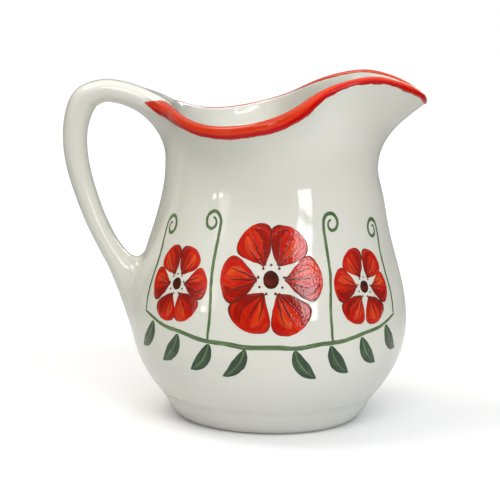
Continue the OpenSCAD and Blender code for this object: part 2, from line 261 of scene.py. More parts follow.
def vectorMath(tree, operation, *values):
    node = addNode(tree, "ShaderNodeVectorMath", operation=operation)
    for slot, value in zip(node.inputs, values):
        plug(tree, value, slot)
    return Socket(tree, node.outputs["Value" if operation == "LENGTH" else "Vector"])


def scaled(tree, vector, scale):
    return made(tree, "ShaderNodeVectorMath", {"Vector": vector, "Scale": scale}, operation="SCALE")


def xyz(tree, vector):
    node = addNode(tree, "ShaderNodeSeparateXYZ", {"Vector": vector})
    return [Socket(tree, output) for output in node.outputs]


def joined(tree, x, y, z):
    return made(tree, "ShaderNodeCombineXYZ", {"X": x, "Y": y, "Z": z})


# An input that is a whole number gets an integer socket
def newTree(name, inputs):
    tree = bpy.data.node_groups.new(name, "GeometryNodeTree")
    for way in ("INPUT", "OUTPUT"):
        tree.interface.new_socket("Geometry", in_out=way, socket_type="NodeSocketGeometry")
    for label, value in inputs.items():
        kind = "NodeSocketInt" if isinstance(value, int) else "NodeSocketFloat"
        tree.interface.new_socket(label, in_out="INPUT", socket_type=kind).default_value = value
    entry = tree.nodes.new("NodeGroupInput")
    return tree, {s.name: Socket(tree, s) for s in entry.outputs if s.name}


def closeTree(tree, geometry, material):
    rounded = made(tree, "GeometryNodeSetShadeSmooth", {"Geometry": geometry})
    realized = made(tree, "GeometryNodeRealizeInstances", {"Geometry": rounded})
    painted = made(tree, "GeometryNodeSetMaterial", {"Geometry": realized, "Material": material})
    plug(tree, painted, tree.nodes.new("NodeGroupOutput").inputs[0])


def linked(name, data):
    thing = bpy.data.objects.new(name, data)
    bpy.context.scene.collection.objects.link(thing)
    return thing


# Runs a tree on an object and keeps the result as a plain mesh
def bakeTree(name, source, tree, material):
    modifier = source.modifiers.new("build", "NODES")
    modifier.node_group = tree
    graph = bpy.context.evaluated_depsgraph_get()
    shaped = source.evaluated_get(graph)
    mesh = bpy.data.meshes.new_from_object(shaped, preserve_all_data_layers=True, depsgraph=graph)
    bpy.data.objects.remove(source)
    mesh.name = name
    mesh.materials.clear()
    mesh.materials.append(material)
    return linked(name, mesh)


def meshPiece(name, points, faces, material, attributes=()):
    mesh = bpy.data.meshes.new(name)
    mesh.from_pydata([p * mm for p in points], [], faces)
    mesh.materials.append(material)
    mesh.shade_smooth()
    for label, values in dict(attributes).items():
        mesh.attributes.new(label, "FLOAT", "POINT").data.foreach_set("value", values)
    return linked(name, mesh)


# Lines of points, each a place and a half width, as one curve
def curveOf(name, lines, closed=False):
    curve = bpy.data.curves.new(name, "CURVE")
    curve.dimensions = "3D"
    curve.twist_mode = "Z_UP"
    for line in lines:
        spline = curve.splines.new("POLY")
        spline.use_cyclic_u = closed
        spline.points.add(len(line) - 1)
        for point, (place, radius) in zip(spline.points, line):
            point.co = (*place.to_3d(), 1)
            point.radius = radius
    return linked(name, curve)


def settle(piece, slot, *nodes):
    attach(piece, "root")
    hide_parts(*nodes)


# Shared finishes
def newGroup(name, inputs, outputs):
    group = bpy.data.node_groups.new(name, "ShaderNodeTree")
    for label, value in inputs.items():
        socket = group.interface.new_socket(label, in_out="INPUT", socket_type="NodeSocketFloat")
        socket.default_value = value
    for label in outputs:
        kind = "NodeSocketVector" if label == "Normal" else "NodeSocketFloat"
        group.interface.new_socket(label, in_out="OUTPUT", socket_type=kind)
    entry = group.nodes.new("NodeGroupInput")
    leave = group.nodes.new("NodeGroupOutput")
    return group, {s.name: Socket(group, s) for s in entry.outputs if s.name}, leave


# The mix node's colour sockets share their names with others, so they are taken by number
def mixColour(tree, factor, a, b):
    node = addNode(tree, "ShaderNodeMix", data_type="RGBA")
    for number, value in ((0, factor), (6, a), (7, b)):
        plug(tree, value, node.inputs[number])
    return Socket(tree, node.outputs[2])


def noise(tree, vector, scale, detail, rough, output="Fac"):
    inputs = {"Vector": vector, "Scale": scale, "Detail": detail, "Roughness": rough}
    return made(tree, "ShaderNodeTexNoise", inputs, output)


def smooth(tree, value, low, high):
    inputs = {"Value": value, "From Min": low, "From Max": high}
    return made(tree, "ShaderNodeMapRange", inputs, interpolation_type="SMOOTHSTEP")


def objectPlace(tree):
    return made(tree, "ShaderNodeTexCoord", output="Object")


def attribute(tree, name):
    return made(tree, "ShaderNodeAttribute", output="Fac", attribute_name=name)


# Each noise: repeats per metre, detail and roughness. Then the shares by which they change the glaze
glazeNoises = {"broad": (26, 3, 0.5), "fine": (240, 2, 0.6), "wave": (42, 1, 0.3), "pits": (1000, 2, 0.5)}
glazeSizes = {"fineShare": 0.25, "cells": 62, "speckShare": 0.93, "speckStart": 0.012, "speckEnd": 0.03,
              "waveHeight": 0.004, "gloss": 0.04, "glossChange": 0.05}


# Glaze: the waves that its reflections show, slow changes of tone, and rare dark specks
def makeGlazeGroup():
    group, given, leave = newGroup("glazeSkin", {"Wave": 0.2, "Mottle": 1.0, "Grain": 0.006},
                                   ("Tone", "Speck", "Roughness", "Normal"))
    place = objectPlace(group)
    broad, fine, wave, pits = [noise(group, place, *sizes) for sizes in glazeNoises.values()]
    cells = addNode(group, "ShaderNodeTexVoronoi", {"Scale": glazeSizes["cells"], "Vector": place})
    chance = made(group, "ShaderNodeSeparateColor", {"Color": Socket(group, cells.outputs["Color"])})
    chosen = chance.math("GREATER_THAN", glazeSizes["speckShare"])
    distance = Socket(group, cells.outputs["Distance"])
    near = 1 - smooth(group, distance, glazeSizes["speckStart"], glazeSizes["speckEnd"])
    height = wave + pits * given["Grain"]
    results = {
        "Tone": (broad - 0.5) * given["Mottle"] + (fine - 0.5) * glazeSizes["fineShare"] + 0.5,
        "Speck": chosen * near,
        "Roughness": glazeSizes["gloss"] + fine * glazeSizes["glossChange"],
        "Normal": made(group, "ShaderNodeBump", {"Strength": given["Wave"], "Height": height,
                                                 "Distance": glazeSizes["waveHeight"]}),
    }
    for label, value in results.items():
        plug(group, value, leave.inputs[label])
    return group


brushSizes = {"streak": (1, 3, 0.6), "pool": (150, 2, 0.5), "poolShare": 0.35,
              "edgeWander": 0.25, "strokeStep": 7.3, "thinStart": 0.5,
              "thinEnd": 0.8}


# Underglaze brush work: streaks along the stroke, pigment pooled at its edges, thin dry patches
def makeBrushGroup():
    group, given, leave = newGroup("brushWork", {"Streaks": 14.0, "Length": 1.5, "Edge": 0.6},
                                   ("Load", "Thin", "Edge"))
    along, across, number = (attribute(group, name) for name in ("along", "across", "stroke"))
    place = joined(group, across * given["Streaks"], along * given["Length"],
                   number * brushSizes["strokeStep"])
    streak = noise(group, place, *brushSizes["streak"])
    pool = noise(group, objectPlace(group), *brushSizes["pool"])
    load = mix(streak, pool, brushSizes["poolShare"])
    side = across.math("ABSOLUTE") + (pool - 0.5) * brushSizes["edgeWander"]
    plug(group, load, leave.inputs["Load"])
    plug(group, smooth(group, 1 - load, brushSizes["thinStart"], brushSizes["thinEnd"]), leave.inputs["Thin"])
    plug(group, smooth(group, side, given["Edge"], 1.0), leave.inputs["Edge"])
    return group


glazeSkin = makeGlazeGroup()
brushWork = makeBrushGroup()
glassIor = 1.5


def newMaterial(name):
    material = bpy.data.materials.new(name)
    material.use_nodes = True
    tree = material.node_tree
    shader = tree.nodes["Principled BSDF"]
    shader.inputs["IOR"].default_value = glassIor
    return material, tree, shader


def placeGroup(tree, group, values):
    node = addNode(tree, "ShaderNodeGroup", values, node_tree=group)
    return {s.name: Socket(tree, s) for s in node.outputs}


def finish(tree, shader, colour, skin, roughness=None):
    plug(tree, colour, shader.inputs["Base Color"])
    plug(tree, roughness or skin["Roughness"], shader.inputs["Roughness"])
    plug(tree, skin["Normal"], shader.inputs["Normal"])


# Colours of the glaze, the heights between which it turns cool, and how much. The cool, more neutral tint low
# down is a painted reflection of the white floor.
cream = {"cream": (0.70, 0.695, 0.64, 1), "warm": (0.68, 0.665, 0.58, 1), "floorLightTint": (0.69, 0.70, 0.67, 1),
         "speck": (0.16, 0.10, 0.06, 1), "clay": (0.60, 0.52, 0.41, 1), "mottle": 1.4,
         "floorLightTop": 0.055, "floorLightLow": 0.015, "floorLightShare": 0.55, "speckShare": 0.75,
         "bareZ": 0.0005, "bareEnd": 0.0008, "bareRoughness": 0.8}


def makeCream(name, bareFoot=False):
    material, tree, shader = newMaterial(name)
    skin = placeGroup(tree, glazeSkin, {"Mottle": cream["mottle"]})
    height = xyz(tree, objectPlace(tree))[2]
    toned = mixColour(tree, skin["Tone"], cream["warm"], cream["cream"])
    # Painted reflection: towards the bottom the glaze is tinted cooler, standing in for the white floor's
    # light.
    low = smooth(tree, height, cream["floorLightTop"], cream["floorLightLow"])
    toned = mixColour(tree, low * cream["floorLightShare"], toned, cream["floorLightTint"])
    colour = mixColour(tree, skin["Speck"] * cream["speckShare"], toned, cream["speck"])
    roughness = skin["Roughness"]
    if bareFoot:
        bare = 1 - smooth(tree, height, cream["bareZ"], cream["bareEnd"])
        colour = mixColour(tree, bare, colour, cream["clay"])
        roughness = bare * cream["bareRoughness"] + roughness
    finish(tree, shader, colour, skin, roughness)
    return material


creamGlaze = makeCream("creamGlaze")
footGlaze = makeCream("footGlaze", bareFoot=True)

# Each paint: colour where it is thick, usual, thin and at its edge, then its streaks and where its
# edge starts
paints = {
    "petal": ((0.46, 0.008, 0.003), (0.58, 0.022, 0.006), (0.68, 0.09, 0.02), (0.30, 0.008, 0.004), 3.2, 0.8),
    "petalShade": ((0.26, 0.007, 0.003), (0.36, 0.01, 0.004), (0.45, 0.02, 0.006), (0.2, 0.007, 0.003),
                   2, 0.7),
    "petalLight": ((0.6, 0.034, 0.008), (0.68, 0.07, 0.014), (0.74, 0.15, 0.035), (0.52, 0.022, 0.006),
                   2.4, 0.55),
    "vein": ((0.12, 0.012, 0.007), (0.20, 0.014, 0.008), (0.34, 0.02, 0.01), (0.14, 0.012, 0.008), 2, 0.6),
    "centre": ((0.05, 0.009, 0.006), (0.10, 0.014, 0.008), (0.26, 0.03, 0.01), (0.04, 0.008, 0.005), 2, 0.7),
    "leaf": ((0.012, 0.04, 0.015), (0.032, 0.078, 0.028), (0.10, 0.17, 0.07), (0.01, 0.03, 0.012), 2.4, 0.8),
    "stem": ((0.06, 0.115, 0.04), (0.13, 0.21, 0.08), (0.30, 0.38, 0.20), (0.06, 0.11, 0.04), 1.5, 0.8),
}
paintLook = {"grain": 0.15, "length": 0.11, "loadStart": 0.35, "loadEnd": 0.62, "thinShare": 0.5,
             "edgeShare": 0.85}


def makePaint(name, thick, usual, thin, edge, streaks, edgeStart):
    thick, usual, thin, edge = [(*colour, 1) for colour in (thick, usual, thin, edge)]
    material, tree, shader = newMaterial(name + "Paint")
    skin = placeGroup(tree, glazeSkin, {"Grain": paintLook["grain"]})
    brush = placeGroup(tree, brushWork,
                       {"Streaks": streaks, "Length": paintLook["length"], "Edge": edgeStart})
    load = smooth(tree, brush["Load"], paintLook["loadStart"], paintLook["loadEnd"])
    body = mixColour(tree, load, usual, thick)
    body = mixColour(tree, brush["Thin"] * paintLook["thinShare"], body, thin)
    finish(tree, shader, mixColour(tree, brush["Edge"] * paintLook["edgeShare"], body, edge), skin)
    return material


paint = {name: makePaint(name, *values) for name, values in paints.items()}

# Band: thick and deep red where it hangs below the lip, thinner and more orange over the crest; the paler
# orange over the crest is partly painted light, where the crest faces up.
# Each coat: where it starts and ends across the band, its share and its colour.
bandLook = {
    "specular": 0.3, "grain": 0.05, "streaks": 1.6, "length": 0.05, "edgeStart": 0.93, "wander": 0.5,
    "deep": (0.50, 0.001, 0.001, 1),
    # The last coat, paler orange over the crest and inside, is partly painted light on the upward-facing
    # crest.
    "coatsAndCrestLight": ((-0.55, -0.15, 1, (0.80, 0.036, 0.003, 1)), (-0.3, 0.25, 1, (0.56, 0.034, 0.006, 1)),
              (0.6, 1.1, 0.6, (0.60, 0.09, 0.03, 1))),
    "thinShare": 0.3, "thin": (0.66, 0.06, 0.012, 1), "edgeShare": 0.5, "edge": (0.40, 0.002, 0.001, 1),
}


def makeBandPaint():
    material, tree, shader = newMaterial("bandPaint")
    shader.inputs["Specular IOR Level"].default_value = bandLook["specular"]
    skin = placeGroup(tree, glazeSkin, {"Grain": bandLook["grain"]})
    brush = placeGroup(tree, brushWork, {"Streaks": bandLook["streaks"], "Length": bandLook["length"],
                                         "Edge": bandLook["edgeStart"]})
    side = attribute(tree, "across") + (brush["Load"] - 0.5) * bandLook["wander"]
    body = bandLook["deep"]
    for start, end, most, colour in bandLook["coatsAndCrestLight"]:
        body = mixColour(tree, smooth(tree, side, start, end) * most, body, colour)
    body = mixColour(tree, brush["Thin"] * bandLook["thinShare"], body, bandLook["thin"])
    finish(tree, shader, mixColour(tree, brush["Edge"] * bandLook["edgeShare"], body, bandLook["edge"]), skin)
    return material


bandPaint = makeBandPaint()
print("materials made")


# What keeps a whole number of rows from rounding down, and how near points have to be, in metres,
# to be joined
rowGuard = 0.001
meeting = 0.00001


# A grid with its column and row numbers, for the trees that turn a profile round the axis
def gridOf(tree, columnCount, rowCount):
    grid = made(tree, "GeometryNodeMeshGrid", {"Vertices X": columnCount, "Vertices Y": rowCount})
    index = made(tree, "GeometryNodeInputIndex")
    column = (index / rowCount + rowGuard).math("FLOOR")
    return grid, column, index - column * rowCount


def placed(tree, geometry, position):
    return made(tree, "GeometryNodeSetPosition", {"Geometry": geometry, "Position": position})


def merged(tree, geometry):
    return made(tree, "GeometryNodeMergeByDistance", {"Geometry": geometry, "Distance": meeting})


# Body: a grid wound round the axis gives the outer wall, and a second grid samples it, going up
# the outside, over the lip and down the inside.
def makeBody():
    tree, given = newTree("turnedWall", {"Columns": pot["columns"], "Crowding": pot["crowding"],
                                         "Wall": pot["wall"], "Lip Radius": pot["lipR"]})
    rowCounts = [pot[part + "Rows"] for part in ("disc", "bowl", "belly", "shoulder", "flare")]
    last = sum(rowCounts)
    columns = given["Columns"]
    grid, column, row = gridOf(tree, columns, last + 1)
    level = 0.0
    start = 0
    for count in rowCounts:
        level = share(row, start, start + count) + level
        start += count
    around = column / columns * (2 * math.pi)
    turn = around - given["Crowding"] * sine(around)
    degrees = least(turn, 2 * math.pi - turn) * (180 / math.pi)
    radius, height = wallAt(degrees, level)
    outer = placed(tree, grid, joined(tree, radius * cosine(turn), radius * sine(turn), height))
    place = made(tree, "GeometryNodeInputPosition")

    lip = pot["lipRows"]
    full, column, row = gridOf(tree, columns + 1, 2 * last + lip + 1)
    source = least(least(row, 2 * last + lip - row), last)

    def sample(columnShift, rowShift):
        wrapped = (column + columnShift + columns).math("MODULO", columns)
        shifted = least(most(source + rowShift, 0), last)
        inputs = {"Geometry": outer, "Value": place, "Index": wrapped * (last + 1) + shifted}
        return made(tree, "GeometryNodeSampleIndex", inputs, data_type="FLOAT_VECTOR", domain="POINT")

    aside = vectorMath(tree, "SUBTRACT", sample(1, 0), sample(-1, 0))
    upward = vectorMath(tree, "SUBTRACT", sample(0, 1), sample(0, -1))
    sideways = vectorMath(tree, "NORMALIZE", vectorMath(tree, "CROSS_PRODUCT", aside, upward))
    onDisc = source.math("LESS_THAN", pot["discRows"] + 0.5)
    out = vectorMath(tree, "ADD", scaled(tree, (0, 0, -1), onDisc), scaled(tree, sideways, 1 - onDisc))
    up = vectorMath(tree, "NORMALIZE", vectorMath(tree, "CROSS_PRODUCT", out, aside))
    over = share(row, last, last + lip) * math.pi
    half = mix(given["Wall"] / 2, given["Lip Radius"], rise(source, last - pot["flareRows"], last))
    moved = vectorMath(tree, "ADD", sample(0, 0), scaled(tree, out, half * (cosine(over) - 1)))
    moved = vectorMath(tree, "ADD", moved, scaled(tree, up, half * sine(over)))
    closeTree(tree, merged(tree, placed(tree, full, scaled(tree, moved, mm))), creamGlaze)
    return bakeTree("glazedBody", linked("seed", bpy.data.meshes.new("seed")), tree, creamGlaze)


body = makeBody()
settle(body, "glazed_body", "body")
print("body", len(body.data.polygons))

# Handle: a loop swept through its stations, which spreads into the rim at one end and runs out
# on the belly at the other. Shares past the neck, of the height and of the thickness.
handle = {
    "reach": 86.4, "top": 139.4, "low": 34, "thick": 9, "width": 15, "squareness": 0.86,
    "sides": 64, "steps": 84, "joinSteps": 26, "first": 3, "last": 10,
    "rootTurn": 33, "rootUp": 4, "rootDown": 24, "rootNarrow": 0.5, "rootHub": -6,
    "footZ": 49.5, "footHalfZ": 20, "footHalfW": 12.5, "sink": 0.5, "hubSink": 2,
    "rootPulls": (7, 4, 10), "footPulls": (8, 8, 6),
}
handleShares = [
    (-0.14, 0.810, 2.00), (0.04, 0.866, 1.60), (0.17, 0.907, 1.24), (0.31, 0.934, 1.07),
    (0.46, 0.951, 1.03), (0.63, 0.953, 1.05), (0.80, 0.912, 1.22), (0.88, 0.800, 1.12),
    (0.85, 0.655, 1.04), (0.70, 0.470, 0.94), (0.51, 0.320, 1.00), (0.34, 0.240, 1.66),
    (0.21, 0.145, 1.66), (0.10, 0.010, 1.50)]


def handleRow(place):
    n = len(handleShares) - 1
    k = min(int(place), n - 1)
    u = place - k
    rows = [handleShares[min(max(k + shift, 0), n)] for shift in (-1, 0, 1, 2)]
    return [b + u * ((c - a) / 2 + u * (a - 2.5 * b + 2 * c - d / 2 + u * (1.5 * (b - c) + (d - a) / 2)))
            for a, b, c, d in zip(*rows)]


def handleMiddle(place):
    out, up, thick = handleRow(place)
    return Vector((-mix(pot["neckR"], handle["reach"], out), 0, mix(handle["low"], handle["top"], up)))


def squared(x):
    return math.copysign(abs(x) ** handle["squareness"], x)


def handleAhead(place):
    step = 0.02
    return (handleMiddle(place + step) - handleMiddle(place - step)).normalized()


def handleRing(place):
    middle = handleMiddle(place)
    ahead = handleAhead(place)
    thick = handle["thick"] * handleRow(place)[2]
    across = Vector((-ahead.z, 0, ahead.x))
    ring = []
    for k in range(handle["sides"]):
        turn = 2 * math.pi * k / handle["sides"]
        aside = Vector((0, handle["width"] / 2 * squared(math.sin(turn)), 0))
        ring.append(middle + across * (thick / 2 * squared(math.cos(turn))) + aside)
    return ring


# A place on the rim's skin, measured over the lip from its crest: minus is down the outside. With
# it come the skin's outward direction, the way on over the lip and the way round it.
def rimSkin(turn, past):
    lipR = pot["lipR"]
    quarter = lipR * math.pi / 2
    level = 5 - max(abs(past) - quarter, 0) / pot["flareLength"]
    point, out, up, around = wallFrame(turn, level)
    if abs(past) <= quarter:
        over = past / lipR + math.pi / 2
        across, along = math.cos(over), math.sin(over)
        point = point + out * (lipR * (across - 1)) + up * (lipR * along)
        return point, out * across + up * along, up * across - out * along, around
    if past > 0:
        half = mix(pot["wall"] / 2, lipR, rise(level, 4, 5))
        return point - out * (2 * half), -out, -up, around
    return point, out, up, around


def bellyLevel(z):
    if z < pot["bellyZ"]:
        return 2 + (z - pot["creaseZ"]) / (pot["bellyZ"] - pot["creaseZ"])
    return 3 + (z - pot["bellyZ"]) / (pot["neckZ"] - pot["bellyZ"])


# Where each side of the handle lands: the point, the skin's outward direction and the way the
# handle's surface runs as it meets the skin
def rootLanding(turn):
    top, side = -math.cos(turn), math.sin(turn)
    upward = (1 + top) / 2
    past = mix(-handle["rootDown"], handle["rootUp"], upward)
    offset = handle["rootTurn"] * side * mix(handle["rootNarrow"], 1, upward)
    point, out, forward, around = rimSkin(180 - offset, past)
    return point, out, (forward * top - around * side).normalized()


def footLanding(turn):
    up, side = math.cos(turn), math.sin(turn)
    z = handle["footZ"] + handle["footHalfZ"] * up
    offset = handle["footHalfW"] * side / wallAt(180, bellyLevel(z))[0]
    point, out, forward, around = wallFrame(180 - math.degrees(offset), bellyLevel(z))
    return point, out, (forward * up - around * side).normalized()


# The pulls say how far the surface runs on before it turns: off the handle, and onto the skin on the
# handle's outer side and its inner side
def joinRings(place, heading, landing, pulls):
    rings = [[] for step in range(handle["joinSteps"] + 1)]
    for k, start in enumerate(handleRing(place)):
        turn = 2 * math.pi * k / handle["sides"]
        end, out, way = landing(turn)
        last = mix(pulls[1], pulls[2], (1 + math.cos(turn)) / 2)
        first = pulls[0] * (1 if last > pulls[0] else last / pulls[0])
        for step in range(handle["joinSteps"]):
            s = (step + 1) / handle["joinSteps"]
            rings[step].append(bezier(start, start + heading * first, end - way * last, end, s))
        rings[-1].append(end - out * handle["sink"] + way * handle["sink"])
    return rings


def makeHandle():
    first, last = handle["first"], handle["last"]
    loop = [handleRing(mix(first, last, k / handle["steps"])) for k in range(handle["steps"] + 1)]
    rings = joinRings(first, -handleAhead(first), rootLanding, handle["rootPulls"])[::-1] + loop
    rings += joinRings(last, handleAhead(last), footLanding, handle["footPulls"])
    n = handle["sides"]
    points = [p for ring in rings for p in ring]
    faces = []
    for r in range(len(rings) - 1):
        for k in range(n):
            j = (k + 1) % n
            faces.append((r * n + k, r * n + n + k, r * n + n + j, r * n + j))
    # Each end is closed by a fan round a point under the skin
    footSkin = wallFrame(180, bellyLevel(handle["footZ"]))
    for skin, base in ((rimSkin(180, handle["rootHub"]), 0), (footSkin, len(points) - n)):
        points.append(skin[0] - skin[1] * handle["hubSink"])
        middle = len(points) - 1
        for k in range(n):
            j = (k + 1) % n
            faces.append((middle, base + k, base + j) if base == 0 else (middle, base + j, base + k))
    return meshPiece("loopHandle", points, faces, creamGlaze)


loopHandle = makeHandle()
settle(loopHandle, "glazed_handle", "handle", "upper_slip_joint", "lower_slip_joint")
print("handle", len(loopHandle.data.polygons))


# Foot: its profile is a curve, and a tree turns the curve round the axis
foot = {"faceR": 35.5, "hollowR": 32.1, "edge": 0.7, "hollowZ": 2.5, "segments": 240, "rows": 90,
        # Pulls of the outer side's curve as shares, and how it meets the crease
        "outRuns": (0.49, 0.70), "upRuns": (0.03, 0.51), "outerSteps": 12, "tuckR": 0.25, "tuckZ": 0.45,
        # The glaze's run on to the bowl: heights over the crease and how much it stands out
        "runZ": (0.15, 0.75, 1.4), "runTop": 1.6, "runSlope": 0.16,
        # The part inside the bowl's wall: steps from the crease and from the hollow, and its end
        "creaseStep": (-1.5, 0.5), "hollowStep": (2, 1), "innerZ": 4.0}


def footProfile():
    crease, high = pot["creaseR"], pot["creaseZ"]
    faceR, hollowR, edge = foot["faceR"], foot["hollowR"], foot["edge"]
    pullR = [mix(faceR, crease, run) for run in foot["outRuns"]]
    pullZ = [high * run for run in foot["upRuns"]]
    profile = [(hollowR, foot["hollowZ"]), (hollowR, edge), (hollowR + edge, 0)]
    for k in range(foot["outerSteps"] + 1):
        s = k / foot["outerSteps"]
        profile.append((bezier(faceR, *pullR, crease - foot["tuckR"], s),
                        bezier(0, *pullZ, high - foot["tuckZ"], s)))
    for up in foot["runZ"]:
        outer = wallAt(180, bellyLevel(high + up))[0]
        profile.append((outer + foot["runSlope"] * (foot["runTop"] - up), high + up))
    for r, z, step in ((crease, high, "creaseStep"), (hollowR, pot["footHollow"], "hollowStep")):
        profile.append((r + foot[step][0], z + foot[step][1]))
    return profile + [(hollowR, foot["innerZ"])]


def makeFoot():
    profile = [(Vector((r, 0, z)) * mm, 1) for r, z in footProfile()]
    source = curveOf("footProfile", [profile], closed=True)
    tree, given = newTree("turnedFoot", {"Segments": foot["segments"], "Rows": foot["rows"]})
    grid, column, row = gridOf(tree, given["Segments"] + 1, given["Rows"] + 1)
    inputs = {"Curves": given["Geometry"], "Factor": (row / given["Rows"]).math("MODULO", 1)}
    place = made(tree, "GeometryNodeSampleCurve", inputs, "Position", mode="FACTOR", use_all_curves=True)
    radius, aside, height = xyz(tree, place)
    turn = column / given["Segments"] * (2 * math.pi)
    turned = placed(tree, grid, joined(tree, radius * cosine(turn), radius * sine(turn), height))
    closeTree(tree, merged(tree, turned), footGlaze)
    return bakeTree("footRing", source, tree, footGlaze)


footRing = makeFoot()
settle(footRing, "foot_clay", "foot_ring")
print("foot", len(footRing.data.polygons))


# The photo's view: where its camera stands in millimetres, how far it looks down and rolls in
# degrees, its lens and sensor in millimetres, and the frame's size in pixels
camera = {"place": (-8.39, -740, 192.2), "down": 9.44, "roll": 0.96, "lens": 129.4, "sensor": 36,
          "frame": 500}


def cameraTurn():
    down = Matrix.Rotation(math.radians(90 - camera["down"]), 3, "X")
    return down @ Matrix.Rotation(math.radians(camera["roll"]), 3, "Z")


def pixelOf(point):
    seen = cameraTurn().inverted() @ (point - Vector(camera["place"]))
    half = camera["frame"] / 2
    reach = camera["lens"] / camera["sensor"] * camera["frame"] / -seen.z
    return Vector((half + seen.x * reach, half - seen.y * reach))


def pixelRay(pixel):
    half = camera["frame"] / 2
    ahead = camera["lens"] / camera["sensor"] * camera["frame"]
    return (cameraTurn() @ Vector((pixel[0] - half, half - pixel[1], -ahead))).normalized()


# Rim band: paint on the lip, laid on in lanes from the wavy lower edge over the crest. Its two
# ends leave the lip and run to a point on the flank of the handle's root.
band = {
    "lift": 0.12, "thick": 0.3, "lanes": 28, "columns": 460, "endTurn": 139, "crowding": 8,
    # How far it reaches past the lip, outside and inside, at the spout and round the back, and
    # the degrees between which that changes
    "below": (0.1, 2.9), "belowTurns": (42, 88), "narrow": 0.35, "narrowTurns": (112, 139),
    "inside": (2.6, 1.65), "insideTurns": (20, 95),
    # Waves of the lower edge: size, length and start
    "waves": ((0.15, 17, 0.3), (0.08, 7, 1.9), (0.04, 3.1, 4.0)), "calmTurns": (130, 139), "wavesInside": 0.3,
    # The ends: how evenly their columns are spaced, how near they come to the point, and the
    # passes that even out the steps
    "endSteps": 44, "endPower": 0.9, "endBlunt": 0.985, "nearY": 3, "evenings": 12, "shared": 3,
    "snap": 2, "searchStep": 0.1,
    # The bead: its height, the widths between which it grows, and where it rises and falls
    "bead": 0.3, "beadWidths": (1, 5), "beadRise": (-1, -0.8), "beadFall": (-0.74, -0.42),
    "beadChange": 0.3, "beadWaves": (2.3, 3.7), "thinning": 0.75, "thinPower": 8,
}
# The end's upper and lower edges as the photo shows them, in its pixels
bandEndUpper = [(178.5, 111.6), (172, 106.2), (166, 101.6), (161, 100.3), (154, 100.8),
                (147.5, 101.4), (144.2, 102.3)]
bandEndLower = [(176.5, 126.2), (170.5, 122.4), (165, 117.9), (160, 115.6), (153.5, 110.6),
                (147, 105.2), (144.2, 102.3)]


def laneShares():
    return [lane / band["lanes"] for lane in range(band["lanes"] + 1)]


# A column of points across the band, at a place along the crest
def bandColumn(turn, length):
    a = abs(turn)
    waves = sum(size * math.sin(2 * math.pi * length / long + start) for size, long, start in band["waves"])
    below = mix(*band["below"], rise(a, *band["belowTurns"]))
    below *= 1 - band["narrow"] * rise(a, *band["narrowTurns"])
    low = -(pot["lipR"] * math.pi / 2 + below + waves * (1 - rise(a, *band["calmTurns"])))
    high = mix(*band["inside"], rise(a, *band["insideTurns"])) + waves * band["wavesInside"]
    return [rimSkin(turn, mix(low, high, s))[:2] for s in laneShares()]


def along(line, s):
    place = s * (len(line) - 1)
    k = min(int(place), len(line) - 2)
    return Vector(line[k]).lerp(Vector(line[k + 1]), place - k)


# The point of the surface that the camera sees at a pixel, or beside it where that one misses
def landing(surface, eye, pixel):
    spot, normal, face, distance = surface.ray_cast(eye, pixelRay(pixel))
    if spot is None:
        step = band["searchStep"]
        return landing(surface, eye, pixel + Vector((step, -step)))
    return spot, normal


def pastCrest(surface, eye, pixel):
    missed = surface.ray_cast(eye, pixelRay(pixel))[0] is None
    return missed or landing(surface, eye, pixel)[0].y > -band["nearY"]


# Rays from the camera find the flank of the root under the edges of the band's end
def bandEnd(surface, eye, start):
    columns = []
    lowerEdge = [pixelOf(start[0][0])] + bandEndLower
    upperEdge = [pixelOf(start[-1][0])] + bandEndUpper
    for step in range(1, band["endSteps"] + 1):
        s = (step / band["endSteps"]) ** band["endPower"] * band["endBlunt"]
        upper = along(upperEdge, s)
        lower = along(lowerEdge, s)
        while pastCrest(surface, eye, upper):
            upper = upper + Vector((0, band["searchStep"]))
        columns.append([landing(surface, eye, lower.lerp(upper, up)) for up in laneShares()])
    return columns


# Evens out the small steps where the root's surface crosses the lip's
def evened(columns, surface, eye):
    for evening in range(band["evenings"]):
        rows = [list(column) for column in columns]
        for k in range(1, len(columns) - 1):
            before, here, after = columns[k - 1:k + 2]
            for lane in range(1, len(here) - 1):
                around = (before[lane], after[lane], here[lane - 1], here[lane + 1])
                point = sum((p for p, n in around), Vector()) / len(around)
                normal = sum((n for p, n in around), Vector()).normalized()
                rows[k][lane] = (here[lane][0].lerp(point, 0.5), here[lane][1].lerp(normal, 0.5))
        columns = rows
    for column in columns[band["shared"]:]:
        for lane, (point, normal) in enumerate(column):
            seen = surface.ray_cast(eye, pixelRay(pixelOf(point)))[0]
            if seen is not None and (seen - point).length < band["snap"]:
                column[lane] = (seen, normal)
    return columns


# How far the paint stands off the skin: less at its edges, with a low bead over the lower one
def paintHeight(side, bead):
    height = band["lift"] * (1 - band["thinning"] * abs(side) ** band["thinPower"])
    return height + bead * rise(side, *band["beadRise"]) * (1 - rise(side, *band["beadFall"]))


def beadHeight(column, length):
    wide = share((column[-1][0] - column[0][0]).length, *band["beadWidths"])
    fast, slow = band["beadWaves"]
    waves = math.sin(length / fast) * math.sin(length / slow + 1)
    return wide * band["bead"] * (1 + band["beadChange"] * waves)


